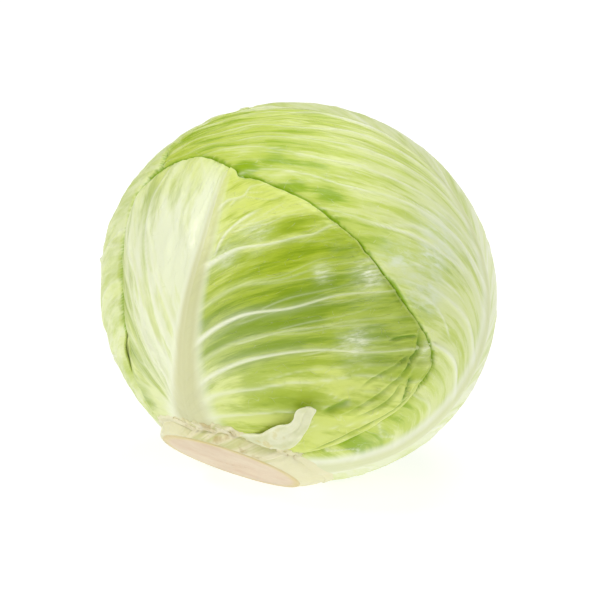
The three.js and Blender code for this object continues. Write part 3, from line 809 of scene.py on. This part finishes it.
innerHead = {
    "bottom": -62.4, "bottomRadius": 28, "wallPolar": 27.4, "clearance": 0.6,
    "sides": 180, "rings": 90,
    "look": {
        "deep": tint(206, 218, 130), "mid": tint(222, 230, 160), "light": tint(234, 240, 190),
        "pale": tint(240, 244, 220), "vein": tint(240, 244, 220), "rib": tint(236, 238, 210),
        "edge": tint(240, 244, 220), "dark": tint(170, 196, 70), "paintedSheen": tint(240, 244, 220),
        "net": 0.4, "bump": 0.4,
    },
}


def makeInnerHead(part):
    sides, rings = part["sides"], part["rings"]
    azimuth = np.linspace(0, 360, sides, endpoint=False)
    polar = np.linspace(part["wallPolar"], 180, rings + 1)[:-1]
    places = np.stack(np.meshgrid(azimuth, polar), -1).reshape(-1, 2)
    d = directions(places)
    radius = outline(d) - layers.at(d) - part["clearance"]
    flat = ring(np.radians(azimuth), part["bottomRadius"], part["bottom"])
    crown = directions([[0, 180]])
    crown = crown * (outline(crown) - layers.at(crown) - part["clearance"])[:, None]
    points = np.vstack([[[0, 0, part["bottom"]]], flat, d * radius[:, None], crown])
    values = {key: np.zeros(len(points)) for key in leafValues}
    values["tone"] = np.full(len(points), 0.5)
    values["veinSpace"] = points / 10
    material = leafMaterial("inner_head_finish", part["look"])
    faces = ringFaces(rings + 1, sides)
    makePiece("inner_leaves", points, faces, material, "leaf_inner", ["inner_head"], values)


makeInnerHead(innerHead)

cutStem = {
    "cutHeight": -82.2, "cutRadius": 32.4, "cutShift": -4, "cutBulge": 1.4,
    "sides": 240, "cutRings": 34, "flankRings": 46,
    # radius, height, and the share of the shift that the ring has
    "flank": [[32.4, -81.7, 1], [33.4, -81.2, 0.9], [34.6, -80.2, 0.7], [36.6, -77.9, 0.25], [37.3, -76.2, 0],
              [33.4, -73, 0], [24, -64.3, 0]],
    "flesh": tint(230, 214, 186), "core": tint(222, 200, 170), "rim": tint(222, 206, 140),
    "skin": tint(224, 222, 172), "stain": tint(170, 140, 84),
}


def flankRing(flank, share, a, shrink=0):  # a ring round the stem, from the cut inwards
    r, z, shift = [np.interp(share, evenly(len(flank)), column) for column in zip(*flank)]
    return ring(a, r - shrink, z, shift * cutStem["cutShift"])


def makeStem(part):
    sides = part["sides"]
    a = np.linspace(0, 2 * math.pi, sides, endpoint=False)
    rings, cut = [], []
    for n in range(1, part["cutRings"] + 1):
        share = n / part["cutRings"]
        r = (part["cutRadius"] - 0.4) * share
        rough = 0.22 * ripple(share * 9 + np.cos(a) * 3, np.sin(a) * 3 + 9, 71)
        rough = rough + 0.1 * ripple(share * 30 + a * 0, a * 7, 72)
        lip = 0.5 * smooth(0.88, 1.0, share)
        z = part["cutHeight"] - part["cutBulge"] * (1 - share ** 2)
        z = z + rough * smooth(1.0, 0.85, share) - lip * 0.3
        rings.append(ring(a, r, z, part["cutShift"]))
        cut.append(np.full(sides, share))
    for share in evenly(part["flankRings"]):
        outer = smooth(0.75, 0.6, share) * smooth(0, 0.12, share)
        scar = 0.9 * ripple(a * 22 / (2 * math.pi) + share * 3, share * 9 + a * 0, 73)
        scar = scar + 0.5 * ripple(a * 60 / (2 * math.pi), share * 20 + a * 0, 74)
        rings.append(flankRing(part["flank"], share, a, outer * (0.55 + 0.55 * np.abs(scar))))
        cut.append(np.full(sides, 1.05 + share))
    bottom, top = part["cutHeight"] - part["cutBulge"], part["flank"][-1][1] + 0.6
    points = np.vstack([[[0, part["cutShift"], bottom]], *rings, [[0, 0, top]]])
    values = {"cut": np.concatenate([[0], *cut, [2.1]])}
    material, start = newMaterial("stem_finish")
    cutShare = attribute(start, "cut")
    place = start.make("TexCoord", out=3)
    mottle = place.noise(60, 4.0, 0.6).between(0.35, 0.7)
    fibre = place.noise(900, 2.0)
    flesh = mottle.blend(part["flesh"], part["core"])
    rim = cutShare.between(0.86, 0.97) * (0.55 + 0.45 * mottle)
    colour = rim.blend(flesh, part["rim"])
    skin = place.noise(150, 3.0).between(0.35, 0.65).blend(part["skin"], part["flesh"])
    skin = (place.noise(95, 4.0).between(0.58, 0.75) * 0.7).blend(skin, part["stain"])
    colour = cutShare.between(1.0, 1.08).blend(colour, skin)
    colour = (place.noise(130, 3.0).between(0.66, 0.8) * 0.5).blend(colour, part["stain"])
    finishMaterial(start, {
        "Base Color": colour, "Roughness": 0.55 + 0.2 * fibre, **softness(0.2, (1.0, 0.8, 0.6), 0.002),
    }, mottle * 0.4 + fibre * 0.6, 0.5, 0.0004)
    makePiece("cut_stem", points, ringFaces(len(rings), sides), material, "stem_flesh", ["stem"], values)


makeStem(cutStem)

tornTissue = {
    "around": 540, "up": 44,
    # radius, height, and the share of the cut's shift
    "flank": [[31.9, -82.0, 1], [33.4, -81.5, 1], [34.6, -80.6, 0.8], [36.0, -79.2, 0.5],
              [37.4, -77.4, 0.2], [38.0, -76.2, 0]],
    "lowerPolar": 26.6, "upperPolar": 29.6, "upperRagged": 1.0,  # degrees
    "raggedFrom": -38, "raggedTo": 22,  # the azimuths where the tissue is torn rather than smooth
    "strips": [
        # start and end place, width at the foot, how far it stands off
        [[-56, 28.8], [-30, 24.4], 4.0, 0.6], [[-38, 29.2], [-14, 24.0], 3.4, 0.7],
        [[-22, 28.8], [-4, 23.4], 3.0, 0.7], [[-12, 29.2], [3, 23.0], 2.4, 0.8],
        [[-3, 29.0], [10, 22.8], 2.6, 0.7], [[5, 28.8], [14, 22.6], 2.0, 0.9],
        [[19.5, 29.0], [38, 21.6], 6.0, 0.9], [[14, 27.6], [27, 22.2], 2.4, 0.8],
        [[33, 28.2], [48, 22.6], 3.4, 0.7],
    ],
    "stripSteps": 22,
    "flesh": tint(238, 232, 196), "fibre": tint(222, 212, 160), "green": tint(208, 208, 142),
    "stain": tint(184, 160, 88), "smooth": tint(234, 230, 188),
}


def strand(middle, side, up, width, thick, corners=8):  # a flat torn strip along a line
    a = np.linspace(0, 2 * math.pi, corners, endpoint=False)
    around = side[:, None] * (np.cos(a)[:, None] * width[:, None, None] / 2)
    around = around + up[:, None] * (np.sin(a)[:, None] * thick[:, None, None] / 2)
    points = (middle[:, None] + around).reshape(-1, 3)
    faces = [list(range(corners))[::-1], list(range((len(middle) - 1) * corners, len(middle) * corners))]
    for r in range(len(middle) - 1):
        for i in range(corners):
            j = (i + 1) % corners
            faces.append([r * corners + i, r * corners + j, (r + 1) * corners + j, (r + 1) * corners + i])
    return points, faces


def makeTornTissue(part):
    count, up = part["around"], part["up"]
    azimuth = np.linspace(0, 360, count, endpoint=False)
    signed = (azimuth + 180) % 360 - 180
    ragged = smooth(part["raggedFrom"] - 20, part["raggedFrom"], signed)
    ragged = ragged * smooth(part["raggedTo"] + 14, part["raggedTo"], signed)
    turns = azimuth * 61 / 360  # the ripples meet themselves after 61 units
    tear = ripple(turns * 2, azimuth * 0, 91) + 0.25 * ripple(turns * 5, azimuth * 0, 92)
    upper = part["upperPolar"] + part["upperRagged"] * tear * (0.15 + 0.85 * ragged) + 0.5 * (1 - ragged)
    a = np.radians(azimuth)
    rows = []
    for h in evenly(up):
        if h < 0.5:
            row = flankRing(part["flank"], h * 2, a)
        else:
            share = (h - 0.5) * 2
            polar = part["lowerPolar"] + (upper - part["lowerPolar"]) * min(1, share / 0.93)
            d = directions(np.stack([azimuth, polar], -1))
            torn = 0.35 - 0.3 * share - (0.6 if share > 0.95 else 0)
            smoothed = 0.5 * (1 - share) ** 1.5 - 0.25 * share
            row = d * (skin.radius(d) + torn * ragged + smoothed * (1 - ragged))[:, None]
        rows.append(row)
    points = np.array(rows)
    h = evenly(up)[:, None]
    fibres = ripple(turns - h * 2.5, h * 2 + azimuth * 0, 93)
    fibres = fibres + 0.5 * ripple(turns * 4 - h * 6, h * 3 + azimuth * 0, 94)
    middle = smooth(0, 0.12, h) * smooth(1, 0.85, h)
    push = (0.15 + 0.55 * ragged) * (0.45 + 0.55 * fibres) * middle
    points = aboveFloor(points + unit(points) * push[..., None])
    index = np.arange(up * count).reshape(up, count)
    index = np.concatenate([index, index[:, :1]], 1)
    faces = gridFaces(index, False).tolist()
    allPoints, rough = [points.reshape(-1, 3)], [(ragged + 0 * h).ravel()]
    valley = [(np.clip(0.5 - fibres, 0, 1) * (0.3 + 0.7 * ragged)).ravel()]
    base, steps = up * count, part["stripSteps"]
    rng = np.random.default_rng(95)
    for start, end, width, lift in part["strips"]:
        share = evenly(steps)
        bow = [rng.uniform(-3, 3), rng.uniform(-0.8, 0.8)]
        bowed = (np.array(start) + end) / 2 + bow
        d = lineOver([start, bowed, end], share)
        height = skin.radius(d) + lift * (0.25 + np.sin(math.pi * share) * 0.75)
        middleLine = d * height[:, None]
        toward = unit(np.gradient(middleLine, axis=0))
        side = unit(np.cross(d, toward))
        uneven = 0.85 + 0.3 * rng.uniform(-1, 1, steps).cumsum() / 8
        wide = np.maximum(width * smooth(-0.15, 0.3, share) * smooth(1.12, 0.7, share) * uneven, 0.2)
        thick = np.maximum(0.9 * smooth(1.3, 0.6, share), 0.15)
        stripPoints, stripFaces = strand(middleLine, side, d, wide, thick)
        allPoints.append(aboveFloor(stripPoints))
        faces += [[k + base for k in f] for f in stripFaces]
        rough.append(np.full(len(stripPoints), 0.9))
        valley.append(np.full(len(stripPoints), 0.0))
        base += len(stripPoints)
    material, start = newMaterial("torn_tissue_finish")
    place = start.make("TexCoord", out=3)
    rag, low = attribute(start, "ragged"), attribute(start, "valley")
    mottle = place.noise(120, 4.0, 0.6).between(0.35, 0.65)
    thread = place.noise(420, 2.0).between(0.35, 0.65)
    colour = (mottle * 0.5).blend(part["flesh"], part["fibre"])
    colour = (low * 0.9).blend(colour, part["green"])
    colour = rag.blend(part["smooth"], colour)
    colour = (rag * place.noise(130, 3.0).between(0.54, 0.7) * 0.6).blend(colour, part["stain"])
    finishMaterial(start, {
        "Base Color": colour, "Roughness": 0.45 + 0.15 * mottle, **softness(0.15, (1.0, 0.9, 0.5), 0.0015),
    }, mottle * 0.5 + thread * 0.5, 0.5, 0.0005)
    makePiece("torn_collar", np.vstack(allPoints), faces, material, "leaf_inner", [],
              {"ragged": np.concatenate(rough), "valley": np.concatenate(valley)})


makeTornTissue(tornTissue)

tornBase = {
    "leftEdge": [[-6, 28.6], [0.6, 30.8], [5.1, 33.2], [7.5, 36.4], [10.4, 39.7], [13.8, 41.8], [14.4, 44.2],
                 [13.5, 46.7], [13.5, 48.7], [14.7, 50.1]],
    "rightEdge": [[14, 27.2], [19, 29.2], [22.2, 31.1], [23.7, 33.6], [23.5, 37.4], [22.5, 40.5],
                  [21.8, 43.5], [20.2, 47.6], [19.6, 50.6], [18, 51.2]],
    "lift": [0.9, 1.6, 2.2, 2.7, 3.0, 3.2, 3.4, 3.7, 4.3, 4.9],
    "thickness": [0.9, 1.6, 2.2, 2.4, 2.2, 1.9, 1.6, 1.4, 1.2, 0.9],
    "curl": 1.4,
    "rows": 72, "columns": 36,
    "flesh": tint(232, 233, 196), "shade": tint(208, 212, 158), "fibre": tint(216, 206, 130),
    "edge": tint(242, 242, 216),
}


def makeTornBase(part):
    rows, columns = part["rows"], part["columns"]
    q = evenly(rows + 1)[:, None]
    x = evenly(columns + 1)[None, :]
    left, right = lineOver(part["leftEdge"], q[:, 0]), lineOver(part["rightEdge"], q[:, 0])
    d = unit(left[:, None] * (1 - x[..., None]) + right[:, None] * x[..., None])
    s = 2 * x - 1
    q2 = q + 0 * s
    lift = valueAt(part["lift"], q2) + part["curl"] * s * s * smooth(0.3, 1, q2)
    thick = valueAt(part["thickness"], q2) * np.sqrt(np.maximum(1 - s ** 2 * 0.97, 0.03))
    groove = 0.5 * np.exp(-((s + 0.25 - 0.3 * q2) / 0.16) ** 2)
    groove = groove * smooth(0.25, 0.45, q2) * smooth(0.95, 0.7, q2)
    ridge = 0.22 * ripple(s * 5 + 9, q2 * 4, 82) * (1 - 0.6 * q2) - groove
    base = outline(d)
    outer = d * (base + lift + thick + ridge * (1 - s ** 4))[..., None]
    inner = d * (base + lift * smooth(0, 0.25, q2) - thick * 0.15)[..., None]
    k = np.arange((rows + 1) * (columns + 1)).reshape(rows + 1, -1)
    faces = gridFaces(k, False)
    around = np.concatenate([k[0], k[1:, -1], k[-1, :-1][::-1], k[1:-1, 0][::-1]])
    count, turned = k.size, np.roll(around, -1)
    walls = np.stack([around, around + count, turned + count, turned], -1)
    allFaces = np.vstack([faces, faces[:, ::-1] + count, walls]).tolist()
    points = np.vstack([outer.reshape(-1, 3), inner.reshape(-1, 3)])
    values = {"side": np.tile(np.abs(s) + 0 * q2, (2, 1)).ravel(), "up": np.tile(q2, (2, 1)).ravel()}
    material, start = newMaterial("torn_leaf_base_finish")
    place = start.make("TexCoord", out=3)
    rise = attribute(start, "up")
    cloud = place.noise(120, 3.0).between(0.35, 0.65)
    colour = (cloud * 0.7).blend(part["flesh"], part["shade"])
    strip = place.noise(260, 3.0).between(0.52, 0.66) * (1 - rise.between(0.2, 0.6))
    colour = (strip * 0.7).blend(colour, part["fibre"])
    colour = (attribute(start, "side").between(0.8, 1.0) * 0.6).blend(colour, part["edge"])
    finishMaterial(start, {
        "Base Color": colour, "Roughness": 0.42 + 0.1 * cloud, **softness(0.12, (1.0, 1.0, 0.6), 0.0015),
    }, place.noise(300, 3.0), 0.35, 0.0004)
    makePiece("torn_base", points, allFaces, material, "leaf_inner", ["torn_leaf_base"], values)


makeTornBase(tornBase)


# Floor, light and camera

studio = {
    "distance": 3.5,  # metres from the camera to the head's centre
    "elevation": 20,
    "frameWidth": 0.26802,  # metres across the picture at the head
    "pictureSide": 600,
    "headPixel": (298.8, 292.5),
    "worldColour": (0.97, 0.985, 1.0, 1), "worldStrength": 0.27,
    "floorColour": (0.35, 0.35, 0.35, 1), "floorGlow": 0.8,
    "lightAim": (0, 0, 0.08),
    "lights": {  # place, size, power, colour
        "keyLight": ((-0.96, -0.63, 1.16), 0.4, 10.5, (1, 0.99, 0.96)),
        "sideLight": ((1.0, -1.07, 0.8), 0.3, 5, (0.97, 0.99, 1)),
        "rimLight": ((0.4, 0.5, 1.6), 0.9, 12, (1, 1, 0.97)),
    },
}


def makeStudio(values):
    bpy.context.scene.view_settings.view_transform = "Standard"
    world = bpy.data.worlds.new("paleStudio")
    bpy.context.scene.world = world
    world.use_nodes = True
    background = world.node_tree.nodes["Background"]
    background.inputs[0].default_value = values["worldColour"]
    background.inputs[1].default_value = values["worldStrength"]

    mesh = bpy.data.meshes.new("floor")
    mesh.from_pydata([(-6, -6, 0), (6, -6, 0), (6, 8, 0), (-6, 8, 0)], [], [(0, 1, 2, 3)])
    floor = addObject("floor", mesh)
    material, start = newMaterial("paleFloor")
    finishMaterial(start, {
        "Base Color": values["floorColour"], "Roughness": 0.9, "Specular IOR Level": 0.1,
        "Emission Color": (1, 1, 1, 1), "Emission Strength": values["floorGlow"],
    })
    mesh.materials.append(material)

    for name, (place, size, power, colour) in values["lights"].items():
        data = bpy.data.lights.new(name, "AREA")
        data.shape, data.size, data.energy, data.color = "DISK", size, power, colour
        light = addObject(name, data)
        light.location = place
        toward = Vector(values["lightAim"]) - Vector(place)
        light.rotation_euler = toward.to_track_quat("-Z", "Y").to_euler()

    elevation = math.radians(values["elevation"])
    forward = Vector((0, math.cos(elevation), -math.sin(elevation)))
    right = Vector((1, 0, 0))
    up = right.cross(forward)
    metresPerPixel = values["frameWidth"] / values["pictureSide"]
    middle = values["pictureSide"] / 2
    x, y = values["headPixel"]
    aim = Vector(head["centre"]) * 0.001 + (right * (middle - x) - up * (middle - y)) * metresPerPixel
    data = bpy.data.cameras.new("camera")
    data.lens = data.sensor_width * values["distance"] / values["frameWidth"]
    data.clip_end = 50
    camera = addObject("camera", data)
    camera.location = aim - forward * values["distance"]
    camera.rotation_euler = forward.to_track_quat("-Z", "Y").to_euler()
    bpy.context.scene.camera = camera


makeStudio(studio)
print("studio made")
